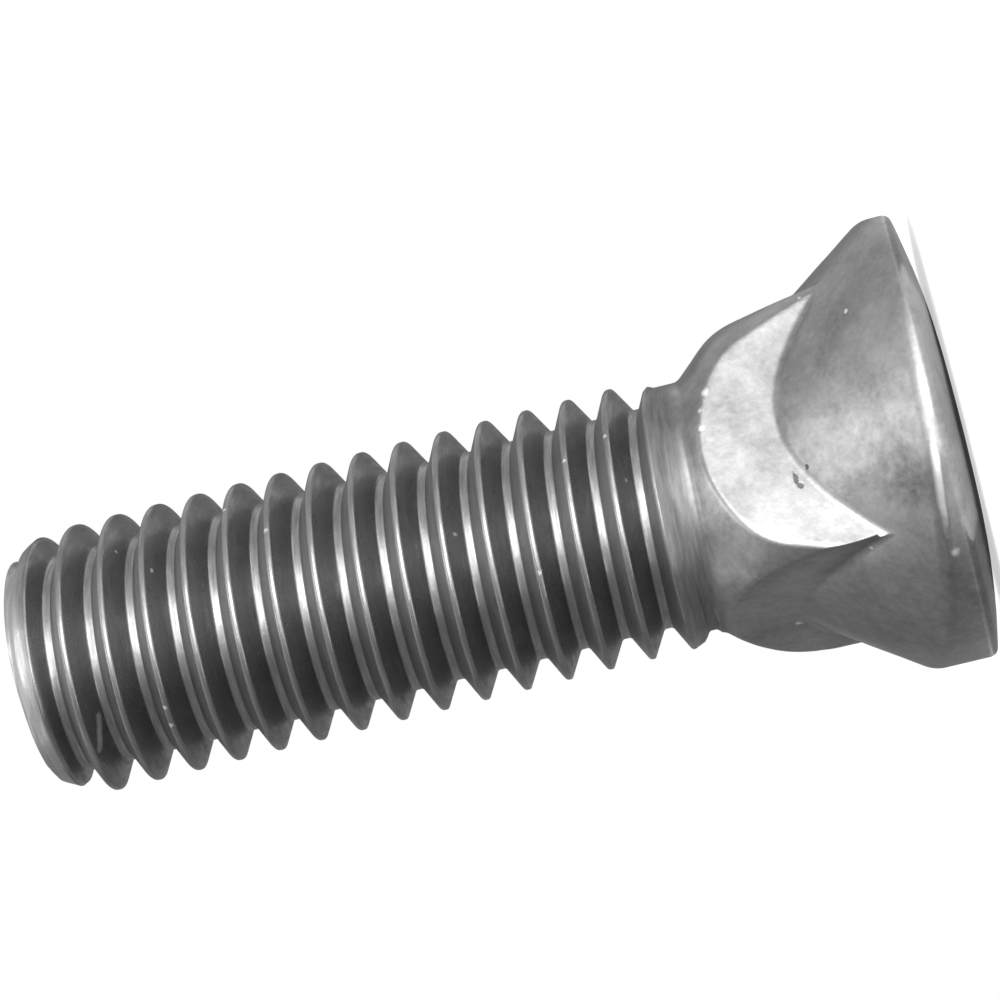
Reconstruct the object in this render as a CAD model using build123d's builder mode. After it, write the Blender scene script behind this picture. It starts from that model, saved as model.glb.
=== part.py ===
"""Plow bolt: one forged piece with a countersunk head, a square neck and a rolled thread.

The bolt stands on its head. The origin lies on the shank's axis in the plane of the head's
face, +Z runs up the shank to the threaded end, and the neck's flats face +X, -X, +Y and -Y.
All sizes are in millimetres.
"""

import os
from math import atan, degrees, radians, tan

from build123d import *

# ---------------------------------------------------------------- lengths along the axis
overall_length = 43.6  # face of the head to the threaded end
neck_top_z = 12.12  # where the forged shoulder of the neck leaves the shank
crest_runout_z = 12.9  # where the crests have sunk to the plain shank
crest_runout_length = 1.0

# ---------------------------------------------------------------- thread
major_diameter = 12.36
pitch = 25.4 / 13
crest_flat = pitch / 8
root_flat = pitch / 6
flank_angle = 30.0  # each flank of the V, from the plane across the axis
left_hand = True
groove_phase_z = 13.82  # height of one groove's middle on the +X side
runout_turns = 0.75  # over which the groove fades out below that +X side
end_diameter = 10.5
end_chamfer_angle = 27.0  # from the axis

# ---------------------------------------------------------------- shank and square neck
shank_diameter = 11.5
neck_across_flats = 12.5
neck_offset_x = 0.3  # the square's axis from the shank's axis
neck_offset_y = -0.05
shoulder_angle = 42.0  # rise of the shoulder, from the axis
shoulder_corner_radius = 7.89  # where the shoulder turns into the rounding of the corners
corner_growth_angle = 13.8  # the corners grow towards the head by this, from the axis
shoulder_round = 1.25
shoulder_offset_x = -0.21  # the shoulder's axis from the shank's axis
shoulder_offset_y = 0.2

# ---------------------------------------------------------------- countersunk head
seat_half_angle = 34.4  # of the cone under the head, from the axis
seat_gauge_radius = 9.19  # radius of the cone at the gauge height
seat_gauge_z = 4.5
seat_offset_x = 0.32  # the cone's axis from the shank's axis
seat_offset_y = 0.69
rim_radius = 10.18
rim_offset_x = 0.43  # the trimmed rim's axis from the shank's axis
rim_offset_y = -0.36
face_flat_radius = 3.0
crown_drop = 0.85  # the face falls away by this much at the rim
face_edge_round = 0.5
rim_edge_round = 0.4

# ---------------------------------------------------------------- sizes that follow
major_radius = major_diameter / 2
shank_radius = shank_diameter / 2
end_radius = end_diameter / 2
flank = tan(radians(flank_angle))
thread_depth = (pitch - crest_flat - root_flat) / 2 / flank
root_radius = major_radius - thread_depth
groove_clearance = 0.25 * crest_flat / flank
groove_top_radius = major_radius + groove_clearance
groove_top_width = pitch - crest_flat / 2
end_chamfer_slope = tan(radians(end_chamfer_angle))
trim_radius = major_radius + 1
stock_z = overall_length + 2 * pitch
runout_rise = shank_radius + 0.1 - root_radius
runout_angle = degrees(atan(runout_rise / (runout_turns * pitch)))

shoulder_slope = tan(radians(shoulder_angle))
corner_slope = tan(radians(corner_growth_angle))
shoulder_start_radius = shank_radius - 0.6
shoulder_start_z = neck_top_z + (shank_radius - shoulder_start_radius) / shoulder_slope
shoulder_turn_z = neck_top_z - (shoulder_corner_radius - shank_radius) / shoulder_slope
seat_slope = tan(radians(seat_half_angle))
seat_top_radius = 0.6 * shank_radius
seat_top_z = seat_gauge_z + (seat_gauge_radius - seat_top_radius) / seat_slope
seat_base_z = -1.0
seat_base_radius = seat_gauge_radius + (seat_gauge_z - seat_base_z) * seat_slope
core_z = seat_gauge_z / 2  # the shank and the neck both reach down into the head this far
corner_foot_radius = shoulder_corner_radius + (shoulder_turn_z - core_z) * corner_slope

# ---------------------------------------------------------------- head: cone within the rim
with BuildPart() as head:
    with Locations((seat_offset_x, seat_offset_y)):
        with Locations((0, 0, seat_base_z)):
            Cone(
                seat_base_radius,
                seat_top_radius,
                seat_top_z - seat_base_z,
                align=(Align.CENTER, Align.CENTER, Align.MIN),
            )
    with BuildPart(mode=Mode.INTERSECT) as rim:
        with BuildSketch(Plane.XZ.offset(-rim_offset_y)) as rim_profile:
            with BuildLine(Location((rim_offset_x, 0))):
                Line((0, 0), (face_flat_radius, 0))
                TangentArc((face_flat_radius, 0), (rim_radius, crown_drop), tangent=(1, 0))
                Polyline(
                    (rim_radius, crown_drop), (rim_radius, seat_top_z), (0, seat_top_z), (0, 0)
                )
            make_face()
            fillet(
                rim_profile.vertices().sort_by_distance((rim_offset_x + rim_radius, crown_drop))[0],
                radius=face_edge_round,
            )
        revolve(axis=Axis((rim_offset_x, rim_offset_y, 0), (0, 0, 1)))
    fillet(head.edges().filter_by(GeomType.BSPLINE), radius=rim_edge_round)

# ---------------------------------------------------------------- neck: square within a dome
with BuildPart() as neck:
    with BuildSketch(Plane.XY.offset(core_z)):
        with Locations((neck_offset_x, neck_offset_y)):
            Rectangle(neck_across_flats, neck_across_flats)
    extrude(amount=shoulder_start_z - core_z)
    with BuildPart(mode=Mode.INTERSECT) as dome:
        with BuildSketch(Plane.XZ.offset(-shoulder_offset_y)) as dome_profile:
            with BuildLine(Location((shoulder_offset_x, 0))):
                Polyline(
                    (0, core_z),
                    (corner_foot_radius, core_z),
                    (shoulder_corner_radius, shoulder_turn_z),
                    (shoulder_start_radius, shoulder_start_z),
                    (0, shoulder_start_z),
                    close=True,
                )
            make_face()
            fillet(
                dome_profile.vertices().sort_by_distance(
                    (shoulder_offset_x + shoulder_corner_radius, shoulder_turn_z)
                )[0],
                radius=shoulder_round,
            )
        revolve(axis=Axis((shoulder_offset_x, shoulder_offset_y, 0), (0, 0, 1)))

# ---------------------------------------------------------------- the V of the groove
with BuildSketch() as vee:
    with BuildLine():
        Polyline(
            (0, -root_flat / 2),
            (groove_top_radius - root_radius, -groove_top_width / 2),
            (groove_top_radius - root_radius, groove_top_width / 2),
            (0, root_flat / 2),
            close=True,
        )
    make_face()

# the path at full depth runs up past the end, and starts where the fading part meets it
with BuildLine() as full_line:
    full_helix = Helix(
        pitch,
        overall_length + pitch - groove_phase_z,
        root_radius,
        center=(0, 0, groove_phase_z),
        lefthand=left_hand,
    )
start_tangent = full_helix % 0

# the last part of a turn, where the groove climbs out of the shank towards the neck, is made
# half a turn away, and its first section lies in the same plane as the full one's
with BuildPart() as fading_groove:
    with BuildLine() as fading_line:
        fading_helix = Helix(
            pitch,
            runout_turns * pitch,
            root_radius,
            center=(0, 0, groove_phase_z),
            direction=(0, 0, -1),
            cone_angle=runout_angle,
            lefthand=left_hand,
        )
    fading_direction = (start_tangent.X, start_tangent.Y, -start_tangent.Z)
    with BuildSketch(Plane(fading_helix @ 0, x_dir=(-1, 0, 0), z_dir=fading_direction)):
        add(vee.sketch)
    sweep(path=fading_line.line, is_frenet=True)

# ---------------------------------------------------------------- shank with its thread
with BuildPart() as shank:
    with BuildSketch(Plane.XZ):
        with BuildLine():
            Polyline(
                (0, core_z),
                (shank_radius, core_z),
                (shank_radius, crest_runout_z),
                (major_radius, crest_runout_z + crest_runout_length),
                (major_radius, stock_z),
                (0, stock_z),
                close=True,
            )
        make_face()
    revolve(axis=Axis.Z)

    # the groove is cut in stock that stands past the end
    with BuildSketch(Plane(full_helix @ 0, x_dir=(1, 0, 0), z_dir=start_tangent)):
        add(vee.sketch)
    sweep(path=full_line.line, is_frenet=True, mode=Mode.SUBTRACT)
    add(fading_groove.part, rotation=(0, 0, 180), mode=Mode.SUBTRACT)

    # the stock cut off square, with the end's chamfer
    with BuildSketch(Plane.XZ):
        with BuildLine():
            Polyline(
                (0, overall_length),
                (end_radius, overall_length),
                (trim_radius, overall_length - (trim_radius - end_radius) / end_chamfer_slope),
                (trim_radius, stock_z + pitch),
                (0, stock_z + pitch),
                close=True,
            )
        make_face()
    revolve(axis=Axis.Z, mode=Mode.SUBTRACT)

# ---------------------------------------------------------------- the bolt in one piece
with BuildPart() as plow_bolt:
    add(head.part)
    add(neck.part)
    add(shank.part)

plow_bolt.part.label = "plow_bolt"

os.makedirs("parts", exist_ok=True)
export_step(plow_bolt.part, "parts/plow_bolt.step")
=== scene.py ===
"""Plow bolt, dressed for Blender: a finer mesh of the forged and rolled bolt, its steel, a
plain studio and the camera.

The bolt stands on its head as in the CAD frame. The shape below is worked out in
millimetres, and goes into Blender in metres.
"""

import math

import bmesh
import bpy
import numpy as np
from mathutils import Matrix, Vector


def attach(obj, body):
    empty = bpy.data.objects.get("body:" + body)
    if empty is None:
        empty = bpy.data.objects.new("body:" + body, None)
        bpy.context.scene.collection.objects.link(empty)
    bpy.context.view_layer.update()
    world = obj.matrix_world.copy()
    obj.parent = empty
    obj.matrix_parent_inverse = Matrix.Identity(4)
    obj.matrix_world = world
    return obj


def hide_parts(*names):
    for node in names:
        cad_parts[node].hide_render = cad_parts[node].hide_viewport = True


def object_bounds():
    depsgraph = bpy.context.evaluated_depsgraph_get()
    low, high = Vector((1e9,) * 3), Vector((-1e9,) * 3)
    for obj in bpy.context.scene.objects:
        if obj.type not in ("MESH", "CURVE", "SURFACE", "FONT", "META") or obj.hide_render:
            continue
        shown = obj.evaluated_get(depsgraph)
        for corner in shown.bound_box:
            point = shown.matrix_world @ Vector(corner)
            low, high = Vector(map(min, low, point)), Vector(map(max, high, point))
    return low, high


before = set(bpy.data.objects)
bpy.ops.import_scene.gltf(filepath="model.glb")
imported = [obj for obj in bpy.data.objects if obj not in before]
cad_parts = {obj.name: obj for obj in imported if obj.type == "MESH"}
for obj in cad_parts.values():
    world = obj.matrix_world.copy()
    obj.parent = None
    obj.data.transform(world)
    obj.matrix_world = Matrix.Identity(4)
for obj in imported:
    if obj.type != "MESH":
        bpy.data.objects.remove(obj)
cad_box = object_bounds()
MM = 0.001

# ------------------------------------------------------------- sizes of the bolt, in mm
LENGTH = cad_box[1].z / MM

MAJOR_RADIUS = 6.18
PITCH = 25.4 / 13
CREST_FLAT = PITCH / 8
ROOT_RADIUS = 4.99  # from the axis to the bottom of the groove
ROOT_FLAT = PITCH / 5
ROOT_SHIFT = 0.05  # of the groove's bottom towards the head
GROOVE_PHASE_Z = 13.82
RUNOUT_TURNS = 0.75
RUNOUT_RISE = 0.94
END_RADIUS = 5.25
END_SLOPE = math.tan(math.radians(27))  # of the chamfer at the threaded end

SHANK_RADIUS = 5.75
CREST_RUNOUT_Z = 12.9
CREST_RUNOUT_LENGTH = 1.0

NECK_HALF = 6.25
NECK_OFFSET = (0.3, -0.05)
NECK_TOP_Z = 12.12
SHOULDER_ANGLE = math.radians(42)
SHOULDER_CORNER_RADIUS = 7.89
CORNER_ANGLE = math.radians(13.8)
SHOULDER_OFFSET = (-0.21, 0.2)

SEAT_ANGLE = math.radians(34.4)
SEAT_GAUGE_RADIUS = 9.19
SEAT_GAUGE_Z = 4.5
SEAT_OFFSET = (0.32, 0.69)
RIM_RADIUS = 10.18
RIM_OFFSET = (0.43, -0.36)
FACE_FLAT_RADIUS = 3.0
CROWN_DROP = 0.85

# how far each edge and hollow is rounded
RIM_BLEND = 0.24
FACE_BLEND = 0.36
SHOULDER_BLEND = 0.6
NECK_EDGE_BLEND = 0.14
SEAT_HOLLOW = 0.16
SHANK_HOLLOW = 0.14
ROOT_BLEND = 0.1
CREST_BLEND = 0.07  # on the flank that faces the head
CREST_BLEND_END = 0.18  # on the flank that faces the end
CREST_BLEND_SPAN = 0.4  # over which the one turns into the other, across the crest
END_BLEND = 0.12

# the shallow unevenness that the forging has
WAVE_DEPTH = 0.03
WAVE_END = 0.8  # over which it ends before the thread
WAVE_FOOT = 0.5  # over which it ends before the face that the bolt stands on

# marks of handling, with painted shade, glints and highlight, in mm
NICKS = [  # dents, darkened with painted shade: the middle and the half sizes of each
    ((-2.42, -6.30, 7.52), (0.34, 0.3, 0.11)),
    ((-2.76, -6.30, 7.40), (0.17, 0.3, 0.17)),
    ((-2.08, -6.42, 6.97), (0.12, 0.3, 0.11)),
]
PAINTED_SHADE_PATCHES = [  # painted shade on the seat cone, to each side of its lit middle: the middle, the reach and the shade of each
    ((-4.1, -8.5, 3.0), 2.2, 0.58),
    ((1.4, -7.9, 5.2), 1.3, 0.8),
    ((-2.6, -8.3, 4.6), 1.1, 0.85),
]
PAINTED_GLINTS = [  # painted glints, small bright spots: the middle and the reach of each
    ((-5.95, 1.72, 9.11), 0.32),
    ((5.92, -6.24, 5.55), 0.15),
    ((3.73, -8.42, 3.72), 0.15),
    ((-6.02, -5.41, 5.13), 0.14),
    ((2.62, -6.29, 10.52), 0.30),
    ((1.80, -6.29, 10.86), 0.22),
    ((0.98, -6.29, 11.00), 0.26),
    ((-0.18, -5.48, 14.76), 0.14),
    ((1.90, -5.88, 15.26), 0.16),
    ((1.17, -6.07, 17.19), 0.14),
    ((-7.58, -6.64, 1.72), 0.35),
    ((2.80, -4.78, 38.07), 0.16),
    ((1.09, -5.65, 36.35), 0.14),
    ((3.28, -5.23, 32.76), 0.18),
    ((1.47, -5.99, 30.89), 0.18),
    ((-4.79, -3.89, 37.12), 0.15),
    ((-5.34, -3.10, 37.14), 0.15),
    ((-0.73, -5.48, 22.63), 0.16),
    ((-3.34, -5.20, 19.34), 0.18),
]
SCRATCH = ((-5.35, -2.36, 40.72), (-4.16, -3.27, 40.33), 0.3)  # its two ends, and its reach
RIM_PAINTED_HIGHLIGHT = ((-5.2, -8.8, 1.5), 3.2)  # a painted highlight along part of the rim's edge: its middle, and its reach

# how far the outlines of the marks stray, in mm
GLINT_RAGGED = (-0.1, 0.1)
SCRATCH_RAGGED = (-0.07, 0.07)
RIM_HIGHLIGHT_RAGGED = (-0.5, 0.5)
SHADE_PATCH_RAGGED = (-0.6, 0.6)
# and these two as shares of a nick's half sizes
NICK_RAGGED = (-0.3, 0.3)
NICK_EDGE = (0.6, 1.1)  # from the nick's bottom to the surface

# the steel's patterns: cells to a metre, finer layers, and how strong those are
GRAIN = (3400, 3, 0.65)
FLECKS = (1300, 3, 0.6)
PATCHES = (300, 4, 0.6)
LANES = (6500, 3, 0.6)
LANE_STRETCH = 0.12  # how quickly the lanes change along the thread, against across it
WIDE = (0.25, 0.75)  # nearly all of a pattern's values lie in here
NARROW = (0.3, 0.7)  # and most of them in here

# where the steel's look changes, as the two ends of each change: by height in mm
SHANK_BEGINS_Z = (11.9, 12.4)
THREAD_BEGINS_Z = (13.0, 13.7)
CHAMFER_BEGINS_Z = (LENGTH - 1.0, LENGTH - 0.7)
# and by the surface's direction, of which 1 is straight up
HEAD_FLANK_UP = (-0.75, -0.3)  # the thread's flanks that face the head, which get painted shade, lie before these
END_FLANK_UP = (0.35, 0.8)  # and those that face the end past these
RIM_ENDS_UP = (0.02, 0.14)
SEAT_BEGINS_UP = (0.24, 0.46)
END_FACE_UP = (0.93, 0.99)
NEAR_FLAT_Y = (-0.995, -0.96)  # the neck's flat that gets painted light lies before these, of which -1 is towards the front

# the steel's colour, from 0 to 1
FORGED_TONE = (0.22, 0.38)  # across the patches
ROLLED_TONE = (0.21, 0.38)  # across the lanes
GRAIN_TONE = (-0.04, 0.04)
FLECK_TONE = (-0.025, 0.025)
WORN_TONE = 0.08  # added on sharp edges of the forging
GLINT_AND_SCRATCH_TONE = 0.8  # of the painted glints, and of the scratch
# of the painted highlight along the rim's edge
RIM_HIGHLIGHT_TONE = 0.7
# and what it is multiplied by in these places
# painted light: the neck's flat that faces the lamps is made paler
NEAR_FLAT_PAINTED_LIGHT = 1.45
# painted shade on the thread's flanks that face the head
HEAD_FLANK_PAINTED_SHADE = 0.78
# painted highlight on the chamfer at the threaded end
CHAMFER_PAINTED_LIGHT = 1.5
SHANK_PAINTED_SHADE = 0.74  # painted shade on the plain shank beside the neck, to dim its highlight
# painted shade in the nicks
NICK_PAINTED_SHADE = 0.35

# the steel's roughness
FORGED_ROUGHNESS = (0.36, 0.29)  # across the flecks
ROLLED_ROUGHNESS = (0.31, 0.45)  # from the crests to the flanks that face the end
LANE_ROUGHNESS = (0.16, -0.12)  # added across the lanes
SHANK_ROUGHNESS = 0.2  # added on the plain shank
WORN_ROUGHNESS = 0.06  # taken away on sharp edges

# the bump's depths, in mm
GRAIN_DEPTH = 0.008
LANE_DEPTH = 0.008
NICK_DEPTH = 0.02

# the studio, in mm and degrees. A level is a brightness, where 1 is the white of the backdrop
AMBIENT = 0.6
FLOOR_TONE = 0.85
FLOOR_LIFT = 0.55
FLOOR_SIZE = 4000
LAMPS = [  # name, place, what it faces, width, height, level
    # one wide lamp in front, whose three layers fade towards its ends
    ("key_core", (-20, -187, 60), (-10, 0, 60), 100, 114, 1.6),
    ("key", (-26, -188, 60), (-12, 0, 60), 166, 124, 1.7),
    ("key_wide", (-26, -189, 60), (-12, 0, 60), 240, 134, 1.3),
    ("neck_light", (80, -186, 10), (0, 0, 7), 80, 36, 1.3),
    ("overhead", (10, -85, 250), (10, -85, 0), 150, 150, 1.8),
]
CARDS = [  # name, rows as radius and height, from angle, to angle, level
    # the walls behind the bolt and at its sides
    ("back_card", [(16, 0.5), (220, 0.5), (220, 330)], 35, 205, 0.3),
    ("first_end_card", [(215, 25), (215, 330)], 205, 217, 0.42),
    ("second_end_card", [(215, 25), (215, 330)], 217, 228, 0.65),
    ("low_side_card", [(215, 90), (215, 330)], 130, 205, 0.45),
    ("side_card", [(16, 0.5), (220, 0.5), (220, 330)], -35, 35, 0.75),
    # painted shadow: dark mats on the floor round the head, which only reflections in its edge
    # show
    ("contact_shadow_mat", [(1, 0.05), (7.2, 0.05)], 0, 360, 0.08),
    ("side_shadow_mat", [(7.2, 0.05), (15, 0.05)], 120, 220, 0.3),
    ("far_shadow_mat", [(7.2, 0.05), (15, 0.05)], -58, 60, 0.5),
]
CARD_COLUMNS = 24


# ------------------------------------------------------------- the bolt as a distance field
def smooth_min(a, b, blend):
    h = np.maximum(blend - np.abs(a - b), 0) / blend
    return np.minimum(a, b) - h * h * blend / 4


def smooth_max(a, b, blend):
    return -smooth_min(-a, -b, blend)


def groove_radius(offset):
    """Radius of the V groove's wall, at an offset along the axis from its middle."""
    root_edge = ROOT_FLAT / 2 + np.where(offset < 0, ROOT_SHIFT, -ROOT_SHIFT)
    crest_edge = (PITCH - CREST_FLAT) / 2
    share = (np.abs(offset) - root_edge) / (crest_edge - root_edge)
    flank = ROOT_RADIUS + share * (MAJOR_RADIUS - ROOT_RADIUS)
    return smooth_max(np.full_like(flank, ROOT_RADIUS), flank, ROOT_BLEND)


def thread_radius(angle, z):
    rise = (MAJOR_RADIUS - SHANK_RADIUS) / CREST_RUNOUT_LENGTH
    body = np.clip(SHANK_RADIUS + (z - CREST_RUNOUT_Z) * rise, SHANK_RADIUS, MAJOR_RADIUS)
    turns = angle / (2 * math.pi)
    turn_number = np.round((z - GROOVE_PHASE_Z) / PITCH + turns)
    along = turn_number - turns  # turns above the start of the full groove
    offset = z - GROOVE_PHASE_Z - PITCH * along
    fade = np.clip(-along / RUNOUT_TURNS, 0, 1.5) * RUNOUT_RISE
    groove = groove_radius(offset) + fade
    towards_head = np.clip(0.5 - offset / CREST_BLEND_SPAN, 0, 1)
    blend = CREST_BLEND + (CREST_BLEND_END - CREST_BLEND) * towards_head
    return smooth_min(body, groove, blend)


def waves(x, y, z):
    """Shallow unevenness, from 0 to 1, a few millimetres from one hollow to the next.

    The factors have no meaning of their own: they keep the hollows from lying in rows.
    """
    one = np.sin(1.25 * x + 0.9 * np.sin(0.8 * y + 0.5 * z)) * np.sin(1.1 * y + 0.7 * x + 1.3)
    two = np.sin(1.9 * z + 1.4 * np.sin(0.6 * x - 0.9 * y)) * np.sin(1.7 * x - 1.3 * y + 0.4)
    return 0.5 + 0.25 * (one + two)


def field(x, y, z):
    """Signed distance to the bolt's surface, near enough, with inside below 0."""
    radius = np.hypot(x, y)
    angle = np.arctan2(y, x) % (2 * math.pi)
    end = (radius - END_RADIUS - (LENGTH - z) * END_SLOPE) / math.hypot(1, END_SLOPE)
    shank = smooth_max(radius - thread_radius(angle, z), end, END_BLEND)
    shank = smooth_max(shank, z - LENGTH, END_BLEND)

    from_die = np.hypot(x - SHOULDER_OFFSET[0], y - SHOULDER_OFFSET[1])
    turn_z = NECK_TOP_Z - (SHOULDER_CORNER_RADIUS - SHANK_RADIUS) / math.tan(SHOULDER_ANGLE)
    out = from_die - SHOULDER_CORNER_RADIUS
    corner = (out - (turn_z - z) * math.tan(CORNER_ANGLE)) * math.cos(CORNER_ANGLE)
    shoulder = (out - (turn_z - z) * math.tan(SHOULDER_ANGLE)) * math.cos(SHOULDER_ANGLE)
    dome = smooth_max(corner, shoulder, SHOULDER_BLEND)
    square = np.maximum(np.abs(x - NECK_OFFSET[0]), np.abs(y - NECK_OFFSET[1])) - NECK_HALF
    neck = smooth_max(square, dome, NECK_EDGE_BLEND)

    from_seat = np.hypot(x - SEAT_OFFSET[0], y - SEAT_OFFSET[1])
    seat = from_seat - SEAT_GAUGE_RADIUS + (z - SEAT_GAUGE_Z) * math.tan(SEAT_ANGLE)
    from_rim = np.hypot(x - RIM_OFFSET[0], y - RIM_OFFSET[1])
    crown_run = RIM_RADIUS - FACE_FLAT_RADIUS
    crown = CROWN_DROP * (np.maximum(from_rim - FACE_FLAT_RADIUS, 0) / crown_run) ** 2
    head = smooth_max(seat * math.cos(SEAT_ANGLE), from_rim - RIM_RADIUS, RIM_BLEND)

    forged = smooth_min(head, neck, SEAT_HOLLOW)
    whole = smooth_min(forged, shank, SHANK_HOLLOW)
    whole = smooth_max(whole, crown - z, FACE_BLEND)
    uneven = WAVE_DEPTH * waves(x, y, z) * np.clip((CREST_RUNOUT_Z - z) / WAVE_END, 0, 1)
    return whole + uneven * np.clip(z / WAVE_FOOT, 0, 1)


def cast(origin, direction, reach=60.0, halvings=40):
    """Where rays from inside the bolt leave it. Both arrays have x, y, z in the last place."""
    near = np.zeros(direction.shape[:-1])
    far = np.full(direction.shape[:-1], reach)
    for _ in range(halvings):
        middle = (near + far) / 2
        point = origin + direction * middle[..., None]
        inside = field(point[..., 0], point[..., 1], point[..., 2]) < 0
        near = np.where(inside, middle, near)
        far = np.where(inside, far, middle)
    return origin + direction * near[..., None]


def normals_at(points, step=0.01):
    x, y, z = points[..., 0], points[..., 1], points[..., 2]
    slope = [
        field(x + step, y, z) - field(x - step, y, z),
        field(x, y + step, z) - field(x, y - step, z),
        field(x, y, z + step) - field(x, y, z - step),
    ]
    slope = np.stack(slope, axis=-1)
    return slope / np.linalg.norm(slope, axis=-1, keepdims=True)


def sharpness_at(points, step=0.08, least=1.0, span=5.0):
    """1 on the sharp edges, where handling wears the steel, and 0 on flats and in hollows."""
    x, y, z = points[..., 0], points[..., 1], points[..., 2]
    ways = [(1, 0, 0), (-1, 0, 0), (0, 1, 0), (0, -1, 0), (0, 0, 1), (0, 0, -1)]
    total = sum(field(x + step * a, y + step * b, z + step * c) for a, b, c in ways)
    curved = (total - len(ways) * field(x, y, z)) / step**2
    return np.clip((curved - least) / span, 0, 1)


# ------------------------------------------------------------- rows of rays round the bolt
FORGED_COLUMNS = 360
THREAD_COLUMNS = 120
JOIN_Z = 12.5  # the forged rows end below this, and the thread's rows start above it
JOIN_GAP = 0.05  # from here to the nearest row on each side
FORGED_TOP_Z = JOIN_Z - JOIN_GAP
THREAD_LOW_Z = JOIN_Z + JOIN_GAP
FAN_Z = 3.0  # height from which rays fan out to the face and the rim
CENTRED_Z = (1.0, 6.0)  # between these, level rays move from the rim's axis to the shank's
# rows by their start, stop and spacing, closest at the rim's edge
FACE_RADII = [(0.6, 9.2, 0.8), (9.2, 9.8, 0.1), (9.8, RIM_RADIUS - 0.04, 0.045)]
FORGED_HEIGHTS = [(0.9, 1.0, 0.05), (1.0, 4.6, 0.085), (4.6, FORGED_TOP_Z, 0.13)]
# rows of one pitch of the thread
ROOT_EDGE = ROOT_FLAT / 2 + 0.08  # from the groove's middle to where its flank is straight
CREST_EDGE = (PITCH - CREST_FLAT) / 2
FLANK_SPACING = 0.2
CREST_ROWS = (-0.05, -0.02, 0.01, 0.05)  # from the crest's edge
END_GAP = 0.001  # from the thread's last row to the end
END_RINGS = (0.985, 0.96, 0.9, 0.7, 0.4)  # shares of the end's edge
MERGE = 0.002  # points closer than this are one
THINNEST = 0.0005  # edges shorter than this go


def steps(start, stop, size):
    """Even steps from start up to, but not including, stop."""
    count = max(1, round(abs(stop - start) / size))
    return [start + (stop - start) * i / count for i in range(count)]


def stretches(spans):
    """The steps of several stretches, each given by its start, its stop and its size of step."""
    return [step for span in spans for step in steps(*span)]


def face_rows():
    """What the fan's rays aim at, as radius and height: close together at the rim's edge."""
    rows = []
    for radius in stretches(FACE_RADII):
        run = max(radius - FACE_FLAT_RADIUS, 0) / (RIM_RADIUS - FACE_FLAT_RADIUS)
        rows.append((radius, CROWN_DROP * run * run))
    return rows


def level_ways(columns):
    """The angles of the columns, and the level directions that they lie in."""
    turn = np.arange(columns) * 2 * math.pi / columns
    return turn, np.stack([np.cos(turn), np.sin(turn), np.zeros_like(turn)], axis=-1)


def forged_points():
    """A grid of points over the face, the rim, the seat and the neck."""
    across = level_ways(FORGED_COLUMNS)[1]
    rays = []
    for radius, z in face_rows():
        heading = across * radius + np.array([0, 0, z - FAN_Z])
        rays.append(((*RIM_OFFSET, FAN_Z), heading))
    for z in stretches(FORGED_HEIGHTS) + [FORGED_TOP_Z]:
        centred = np.clip((z - CENTRED_Z[0]) / (CENTRED_Z[1] - CENTRED_Z[0]), 0, 1)
        shift = 1 - centred * centred * (3 - 2 * centred)
        origin = (RIM_OFFSET[0] * shift, RIM_OFFSET[1] * shift, z)
        rays.append((origin, across))
    origins = np.array([o for o, _ in rays])[:, None, :]
    headings = np.array([h for _, h in rays])
    headings = headings / np.linalg.norm(headings, axis=-1, keepdims=True)
    return cast(origins, headings)


def thread_offsets():
    """Where a pitch's rows lie, from the middle of its groove: close at the root and crest."""
    crest = [CREST_EDGE + row for row in CREST_ROWS]
    half = steps(0, ROOT_EDGE, ROOT_EDGE / 3) + steps(ROOT_EDGE, crest[0], FLANK_SPACING) + crest
    return sorted([-o for o in half[1:]] + half) + [PITCH / 2]


def thread_points():
    """A grid of points whose rows climb with the thread, cut off level at both ends."""
    turn, across = level_ways(THREAD_COLUMNS)
    first = math.floor((THREAD_LOW_Z - GROOVE_PHASE_Z) / PITCH) - 1
    last = math.ceil((LENGTH - GROOVE_PHASE_Z) / PITCH) + 2
    rows = [n * PITCH + offset for n in range(first, last) for offset in thread_offsets()]
    z = GROOVE_PHASE_Z + np.array(rows)[:, None] - PITCH * (turn / (2 * math.pi))[None, :]
    z = np.clip(z, THREAD_LOW_Z, LENGTH - END_GAP)
    origin = np.stack([np.zeros_like(z), np.zeros_like(z), z], axis=-1)
    return cast(origin, np.broadcast_to(across, origin.shape)), len(thread_offsets())


def end_points(edge):
    """Rings of points across the flat end, drawn in from its edge."""
    rings = []
    for share in END_RINGS:
        ring = edge.copy()
        ring[:, :2] *= share
        ring[:, 2] = LENGTH
        rings.append(ring)
    return rings


# ------------------------------------------------------------- the mesh
def quads(base, rows, columns, wrap=0):
    """Faces of a grid that closes round the axis. wrap: rows lost in going once round."""
    faces = []
    for row in range(rows - 1):
        for column in range(columns):
            following = (column + 1) % columns
            drop = wrap if following == 0 else 0
            if row - drop < 0:
                continue
            faces.append(
                (
                    base + row * columns + column,
                    base + (row - drop) * columns + following,
                    base + (row + 1 - drop) * columns + following,
                    base + (row + 1) * columns + column,
                )
            )
    return faces


def join_faces(forged_base, thread_base):
    """Triangles between the forging's last row and the thread's first, which has fewer points."""
    faces = []
    spread = FORGED_COLUMNS // THREAD_COLUMNS
    for column in range(THREAD_COLUMNS):
        above = thread_base + column
        above_next = thread_base + (column + 1) % THREAD_COLUMNS
        first = column * spread
        for k in range(first, first + spread):
            following = (k + 1) % FORGED_COLUMNS
            top = above if k < first + spread - 1 else above_next
            faces.append((forged_base + k, forged_base + following, top))
        faces.append((forged_base + first + spread - 1, above_next, above))
    return faces


def fan_faces(base, columns, middle):
    """Triangles from a row to the one point in its middle."""
    return [(middle, base + column, base + (column + 1) % columns) for column in range(columns)]


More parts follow.
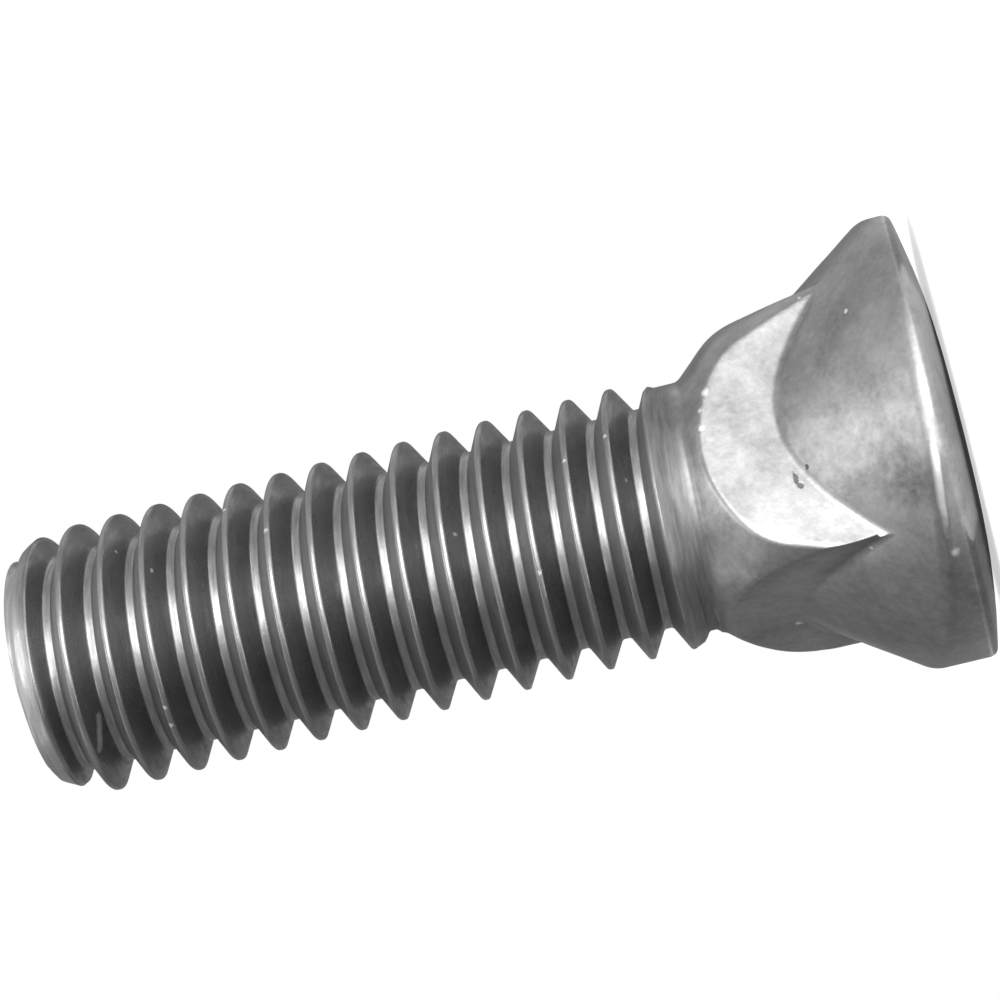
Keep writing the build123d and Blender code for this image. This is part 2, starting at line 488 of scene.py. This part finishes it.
def bolt_points_and_faces():
    forged = forged_points()
    thread, rows_per_pitch = thread_points()
    rings = end_points(thread[-1])
    face_middle = np.array([(*RIM_OFFSET, 0)])
    end_middle = np.array([(0, 0, LENGTH)])
    groups = [forged.reshape(-1, 3), thread.reshape(-1, 3), *rings, face_middle, end_middle]
    points = np.concatenate(groups)

    thread_base = len(forged) * FORGED_COLUMNS
    ring_base = thread_base + len(thread) * THREAD_COLUMNS
    end_base = ring_base + (len(rings) - 1) * THREAD_COLUMNS
    faces = quads(0, len(forged), FORGED_COLUMNS)
    faces += quads(thread_base, len(thread), THREAD_COLUMNS, wrap=rows_per_pitch)
    faces += quads(ring_base - THREAD_COLUMNS, len(rings) + 1, THREAD_COLUMNS)
    faces += join_faces(thread_base - FORGED_COLUMNS, thread_base)
    faces += fan_faces(end_base, THREAD_COLUMNS, len(points) - 1)
    faces += fan_faces(0, FORGED_COLUMNS, len(points) - 2)
    return points, faces


def build_bolt():
    points, faces = bolt_points_and_faces()
    mesh = bpy.data.meshes.new("plow_bolt_body")
    mesh.from_pydata((points * MM).tolist(), [], faces)
    bm = bmesh.new()
    bm.from_mesh(mesh)
    bmesh.ops.remove_doubles(bm, verts=bm.verts, dist=MERGE * MM)
    bmesh.ops.dissolve_degenerate(bm, edges=bm.edges, dist=THINNEST * MM)
    bmesh.ops.recalc_face_normals(bm, faces=bm.faces)
    bm.to_mesh(mesh)
    bm.free()
    places = np.empty(len(mesh.vertices) * 3)
    mesh.vertices.foreach_get("co", places)
    places = places.reshape(-1, 3) / MM
    mesh.shade_smooth()
    mesh.normals_split_custom_set_from_vertices(normals_at(places))
    worn = mesh.attributes.new("worn", "FLOAT", "POINT")
    worn.data.foreach_set("value", sharpness_at(places))
    bolt = bpy.data.objects.new("plow_bolt_body", mesh)
    bpy.context.scene.collection.objects.link(bolt)
    return bolt


# ------------------------------------------------------------- materials
def new_material(name):
    material = bpy.data.materials.new(name)
    material.use_nodes = True
    return material, material.node_tree


def node(tree, kind, *inputs, **settings):
    """Add a node with its inputs in order: a socket is linked, a number is set, None is left."""
    made = tree.nodes.new("ShaderNode" + kind)
    for name, value in settings.items():
        setattr(made, name, value)
    for socket, value in zip(made.inputs, inputs):
        if isinstance(value, bpy.types.NodeSocket):
            tree.links.new(value, socket)
        elif value is not None:
            socket.default_value = value
    return made.outputs


def maths(tree, operation, a, b=None, c=None):
    return node(tree, "Math", a, b, c, operation=operation)[0]


def joined(tree, operation, values):
    """One value from several, such as their sum, their product or the largest."""
    result = values[0]
    for value in values[1:]:
        result = maths(tree, operation, result, value)
    return result


def ramp(tree, value, start, stop, low, high):
    """low up to start, high from stop on, and even between."""
    return node(tree, "MapRange", value, start, stop, low, high)[0]


def noise(tree, vector, scale, detail, roughness, w=None):
    made = tree.nodes.new("ShaderNodeTexNoise")
    made.noise_dimensions = "3D" if w is None else "4D"
    tree.links.new(vector, made.inputs["Vector"])
    if w is not None:
        tree.links.new(w, made.inputs["W"])
    made.inputs["Scale"].default_value = scale
    made.inputs["Detail"].default_value = detail
    made.inputs["Roughness"].default_value = roughness
    return made.outputs[0]


def metres(place):
    return tuple(p * MM for p in place)


def fading(tree, away, reach, core=0.2, inside=1.0, outside=0.0):
    """inside up to a share of the reach, the core, and outside from the whole reach on."""
    return ramp(tree, away, core * reach * MM, reach * MM, inside, outside)


def around_place(tree, spot, middle, reach, ragged, **levels):
    """A value that fades out with the distance from a place, and has a ragged outline."""
    away = node(tree, "VectorMath", spot, metres(middle), operation="DISTANCE")["Value"]
    return fading(tree, maths(tree, "ADD", away, ragged), reach, **levels)


def lanes_of_thread(tree, x, y, z):
    """Noise drawn out along the thread: quick across the pitch, slow along a turn."""
    turns = maths(tree, "MULTIPLY", maths(tree, "ARCTAN2", y, x), 1 / (2 * math.pi))
    pitches = maths(tree, "MULTIPLY_ADD", z, 1 / (PITCH * MM), -GROOVE_PHASE_Z / PITCH)
    in_pitch = maths(tree, "FRACT", maths(tree, "ADD", pitches, turns))
    lane = maths(tree, "MULTIPLY", in_pitch, PITCH * MM)
    slow = [maths(tree, "MULTIPLY", axis, LANE_STRETCH) for axis in (x, y, z)]
    drawn = node(tree, "CombineXYZ", slow[0], slow[1], lane)[0]
    return noise(tree, drawn, *LANES, w=slow[2])


# painted glints: small bright spots on the forging and the thread
def mask_of_painted_glints(tree, spot, grain):
    ragged = ramp(tree, grain, *WIDE, *metres(GLINT_RAGGED))
    glints = [around_place(tree, spot, middle, reach, ragged) for middle, reach in PAINTED_GLINTS]
    return joined(tree, "MAXIMUM", glints)


def mask_of_scratch(tree, spot, flecks):
    """1 near the straight line between the scratch's ends."""
    start, stop, reach = SCRATCH
    along = Vector(stop) - Vector(start)
    per_length = tuple(along / along.length_squared / MM)
    from_start = node(tree, "VectorMath", spot, metres(start), operation="SUBTRACT")[0]
    share = node(tree, "VectorMath", from_start, per_length, operation="DOT_PRODUCT")["Value"]
    share = ramp(tree, share, 0.0, 1.0, 0.0, 1.0)
    near = node(tree, "VectorMath", metres(along), None, None, share, operation="SCALE")[0]
    away = node(tree, "VectorMath", from_start, near, operation="DISTANCE")["Value"]
    ragged = ramp(tree, flecks, *WIDE, *metres(SCRATCH_RAGGED))
    return fading(tree, maths(tree, "ADD", away, ragged), reach, core=0.3)


def mask_of_painted_rim_highlight(tree, spot, up, flecks):
    """A painted highlight: 1 on a stretch of the edge between the rim and the seat, which its
    slope tells.
    """
    middle, reach = RIM_PAINTED_HIGHLIGHT
    ragged = ramp(tree, flecks, *NARROW, *metres(RIM_HIGHLIGHT_RAGGED))
    stretch = around_place(tree, spot, middle, reach, ragged, core=0.3)
    past_rim = ramp(tree, up, *RIM_ENDS_UP, 0.0, 1.0)
    before_seat = ramp(tree, up, *SEAT_BEGINS_UP, 1.0, 0.0)
    return joined(tree, "MULTIPLY", [stretch, past_rim, before_seat])


def mask_of_nicks(tree, spot, grain):
    ragged = ramp(tree, grain, *WIDE, *NICK_RAGGED)
    nicks = []
    for middle, half_sizes in NICKS:
        away = node(tree, "VectorMath", spot, metres(middle), operation="SUBTRACT")[0]
        scale = tuple(1 / (half * MM) for half in half_sizes)
        away = node(tree, "VectorMath", away, scale, operation="MULTIPLY")[0]
        away = node(tree, "VectorMath", away, operation="LENGTH")["Value"]
        nicks.append(ramp(tree, maths(tree, "ADD", away, ragged), *NICK_EDGE, 1.0, 0.0))
    return joined(tree, "MAXIMUM", nicks)


# painted shade: darker patches on the seat cone, to each side of its lit middle
def painted_shade_of_patches(tree, spot, patches):
    ragged = ramp(tree, patches, *NARROW, *metres(SHADE_PATCH_RAGGED))
    shades = [
        around_place(tree, spot, middle, reach, ragged, inside=shade, outside=1.0)
        for middle, reach, shade in PAINTED_SHADE_PATCHES
    ]
    return joined(tree, "MULTIPLY", shades)


def steel():
    """Bare steel: mottled and grainy where it was forged, drawn in lanes along the thread."""
    material, tree = new_material("steel")
    shader = tree.nodes["Principled BSDF"]
    shader.inputs["Metallic"].default_value = 1.0
    shader.inputs["Anisotropic"].default_value = 0.5
    shader.inputs["Anisotropic Rotation"].default_value = 0.25
    around = tree.nodes.new("ShaderNodeTangent")
    around.direction_type = "RADIAL"
    around.axis = "Z"
    tree.links.new(around.outputs[0], shader.inputs["Tangent"])

    coordinate = node(tree, "TexCoord")
    spot = coordinate["Object"]
    x, y, z = node(tree, "SeparateXYZ", spot)[0:3]
    towards_y, up = node(tree, "SeparateXYZ", coordinate["Normal"])[1:3]
    worn = node(tree, "Attribute", attribute_name="worn")["Fac"]
    grain = noise(tree, spot, *GRAIN)
    flecks = noise(tree, spot, *FLECKS)
    patches = noise(tree, spot, *PATCHES)
    lanes = lanes_of_thread(tree, x, y, z)
    nick = mask_of_nicks(tree, spot, grain)

    # rolled is 1 on the thread. turned is 1 there and on the plain shank, but not on the end
    rolled = ramp(tree, z, *metres(THREAD_BEGINS_Z), 0.0, 1.0)
    past_neck = ramp(tree, z, *metres(SHANK_BEGINS_Z), 0.0, 1.0)
    turned = maths(tree, "MULTIPLY", past_neck, ramp(tree, up, *END_FACE_UP, 1.0, 0.0))

    mottled = ramp(tree, patches, *NARROW, *FORGED_TONE)
    # painted shade on the seat cone
    mottled = maths(tree, "MULTIPLY", mottled, painted_shade_of_patches(tree, spot, patches))
    grainy = ramp(tree, grain, *WIDE, *GRAIN_TONE)
    flecked = ramp(tree, flecks, *NARROW, *FLECK_TONE)
    # painted light on the neck's flat that faces the lamps
    near_flat_painted_light = ramp(tree, towards_y, *NEAR_FLAT_Y, NEAR_FLAT_PAINTED_LIGHT, 1.0)
    forged_tone = joined(tree, "ADD", [mottled, grainy, flecked])
    forged_tone = maths(tree, "MULTIPLY", forged_tone, near_flat_painted_light)

    drawn_tone = ramp(tree, lanes, *WIDE, *ROLLED_TONE)
    # painted shade on the thread's flanks that face the head
    head_flank_painted_shade = ramp(tree, up, *HEAD_FLANK_UP, HEAD_FLANK_PAINTED_SHADE, 1.0)
    # painted highlight on the chamfer at the threaded end
    chamfer = ramp(tree, z, *metres(CHAMFER_BEGINS_Z), 1.0, CHAMFER_PAINTED_LIGHT)
    # painted shade on the plain shank beside the neck
    shank = ramp(tree, rolled, 0.0, 1.0, SHANK_PAINTED_SHADE, 1.0)
    rolled_tone = joined(tree, "MULTIPLY", [drawn_tone, head_flank_painted_shade, chamfer, shank])

    tone = node(tree, "Mix", turned, None, forged_tone, rolled_tone)[0]
    edge = maths(tree, "MULTIPLY", worn, ramp(tree, rolled, 0.0, 1.0, WORN_TONE, 0.0))
    tone = maths(tree, "ADD", tone, edge)
    # the nicks' dents darkened with painted shade
    tone = maths(tree, "MULTIPLY", tone, ramp(tree, nick, 0.0, 1.0, 1.0, NICK_PAINTED_SHADE))
    # painted glints, and the scratch
    glints = maths(tree, "MULTIPLY", mask_of_painted_glints(tree, spot, grain), GLINT_AND_SCRATCH_TONE)
    scratch = maths(tree, "MULTIPLY", mask_of_scratch(tree, spot, flecks), GLINT_AND_SCRATCH_TONE)
    # painted highlight along the rim's edge
    rim_highlight = maths(tree, "MULTIPLY", mask_of_painted_rim_highlight(tree, spot, up, flecks), RIM_HIGHLIGHT_TONE)
    tone = joined(tree, "MAXIMUM", [tone, glints, scratch, rim_highlight])
    tree.links.new(tone, shader.inputs["Base Color"])

    forged_rough = ramp(tree, flecks, *NARROW, *FORGED_ROUGHNESS)
    shank_rough = maths(tree, "MULTIPLY", turned, SHANK_ROUGHNESS)
    forged_rough = maths(tree, "ADD", forged_rough, shank_rough)
    flank_rough = ramp(tree, up, *END_FLANK_UP, *ROLLED_ROUGHNESS)
    lane_rough = ramp(tree, lanes, *WIDE, *LANE_ROUGHNESS)
    rolled_rough = maths(tree, "ADD", flank_rough, lane_rough)
    rough = node(tree, "Mix", rolled, None, forged_rough, rolled_rough)[0]
    rough = maths(tree, "SUBTRACT", rough, maths(tree, "MULTIPLY", worn, WORN_ROUGHNESS))
    tree.links.new(rough, shader.inputs["Roughness"])

    heights = [
        maths(tree, "MULTIPLY", grain, GRAIN_DEPTH * MM),
        maths(tree, "MULTIPLY", maths(tree, "MULTIPLY", lanes, turned), LANE_DEPTH * MM),
        maths(tree, "MULTIPLY", nick, -NICK_DEPTH * MM),
    ]
    bump = tree.nodes.new("ShaderNodeBump")
    bump.inputs["Strength"].default_value = 1.0
    bump.inputs["Distance"].default_value = 1.0
    tree.links.new(joined(tree, "ADD", heights), bump.inputs["Height"])
    tree.links.new(bump.outputs[0], shader.inputs["Normal"])
    return material


def seen_directly(tree):
    """1 for the rays that show a thing as it is: the camera's, reflected and refracted ones."""
    path = node(tree, "LightPath")
    rays = [path["Is Camera Ray"], path["Is Glossy Ray"], path["Is Transmission Ray"]]
    return joined(tree, "MAXIMUM", rays)


def white_floor():
    """A matt white, lifted to the backdrop's white where it is seen, with its shadows kept."""
    material, tree = new_material("white_floor")
    shader = tree.nodes["Principled BSDF"]
    shader.inputs["Base Color"].default_value = (FLOOR_TONE, FLOOR_TONE, FLOOR_TONE, 1)
    shader.inputs["Roughness"].default_value = 1.0
    shader.inputs["Specular IOR Level"].default_value = 0.0
    shader.inputs["Emission Color"].default_value = (1, 1, 1, 1)
    lift = maths(tree, "MULTIPLY", seen_directly(tree), FLOOR_LIFT)
    tree.links.new(lift, shader.inputs["Emission Strength"])
    return material


def grey_card(name, level):
    material, tree = new_material(name)
    tree.nodes.clear()
    output = tree.nodes.new("ShaderNodeOutputMaterial")
    glow = tree.nodes.new("ShaderNodeEmission")
    glow.inputs["Color"].default_value = (level, level, level, 1)
    tree.links.new(glow.outputs[0], output.inputs["Surface"])
    return material


# ------------------------------------------------------------- studio and camera
def area_light(name, place, aim, width, height, level):
    """An oval soft box that lights and shows in reflections, but not to the camera."""
    data = bpy.data.lights.new(name, "AREA")
    data.shape = "ELLIPSE"
    data.size = width * MM
    data.size_y = height * MM
    area = math.pi / 4 * width * height * MM * MM
    data.energy = level * math.pi * area
    lamp = bpy.data.objects.new(name, data)
    lamp.location = Vector(place) * MM
    lamp.visible_camera = False
    lamp.rotation_euler = (Vector(aim) - Vector(place)).to_track_quat("-Z", "Y").to_euler()
    bpy.context.scene.collection.objects.link(lamp)


def bent_card(name, rows, start, stop, level):
    """A card bent round the bolt through radii and heights. Only reflections show it."""
    across = CARD_COLUMNS + 1
    turns = [math.radians(start + (stop - start) * i / CARD_COLUMNS) for i in range(across)]
    points = [metres((r * math.cos(a), r * math.sin(a), z)) for r, z in rows for a in turns]
    faces = []
    for row in range(len(rows) - 1):
        for column in range(CARD_COLUMNS):
            corner = row * across + column
            faces.append((corner, corner + 1, corner + across + 1, corner + across))
    mesh = bpy.data.meshes.new(name)
    mesh.from_pydata(points, [], faces)
    card = bpy.data.objects.new(name, mesh)
    bpy.context.scene.collection.objects.link(card)
    card.data.materials.append(grey_card(name, level))
    card.visible_camera = False
    card.visible_diffuse = False
    card.visible_transmission = False
    card.visible_shadow = False


def build_studio():
    bpy.ops.mesh.primitive_plane_add(size=FLOOR_SIZE * MM, location=(0, 0, 0))
    floor = bpy.context.object
    floor.name = "floor"
    floor.data.materials.append(white_floor())

    world = bpy.data.worlds.new("studio")
    world.use_nodes = True
    bpy.context.scene.world = world
    tree = world.node_tree
    tree.nodes.clear()
    output = tree.nodes.new("ShaderNodeOutputWorld")
    ambient = tree.nodes.new("ShaderNodeBackground")
    ambient.inputs["Color"].default_value = (AMBIENT, AMBIENT, AMBIENT, 1)
    white = tree.nodes.new("ShaderNodeBackground")
    white.inputs["Color"].default_value = (1, 1, 1, 1)
    mix = tree.nodes.new("ShaderNodeMixShader")
    tree.links.new(seen_directly(tree), mix.inputs[0])
    tree.links.new(ambient.outputs[0], mix.inputs[1])
    tree.links.new(white.outputs[0], mix.inputs[2])
    tree.links.new(mix.outputs[0], output.inputs["Surface"])

    for lamp in LAMPS:
        area_light(*lamp)
    for card in CARDS:
        bent_card(*card)


def build_camera():
    """Level with the head and turned on its side, so that the bolt lies across the view."""
    place = Vector((-57.12, -136.78, 4.40))
    aim = Vector((2.30, -1.01, 20.93))
    roll = math.radians(104.1)
    data = bpy.data.cameras.new("camera")
    data.sensor_width = 36
    data.lens = 117.9
    data.clip_start = 10 * MM
    camera = bpy.data.objects.new("camera", data)
    upright = (aim - place).to_track_quat("-Z", "Y").to_matrix()
    camera.matrix_world = Matrix.Translation(place * MM) @ (
        upright @ Matrix.Rotation(-roll, 3, "Z")
    ).to_4x4()
    bpy.context.scene.collection.objects.link(camera)
    bpy.context.scene.camera = camera


bolt = build_bolt()
bolt.data.materials.append(steel())
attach(bolt, "root")
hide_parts("plow_bolt")
build_studio()
build_camera()
bpy.context.scene.view_settings.view_transform = "Standard"
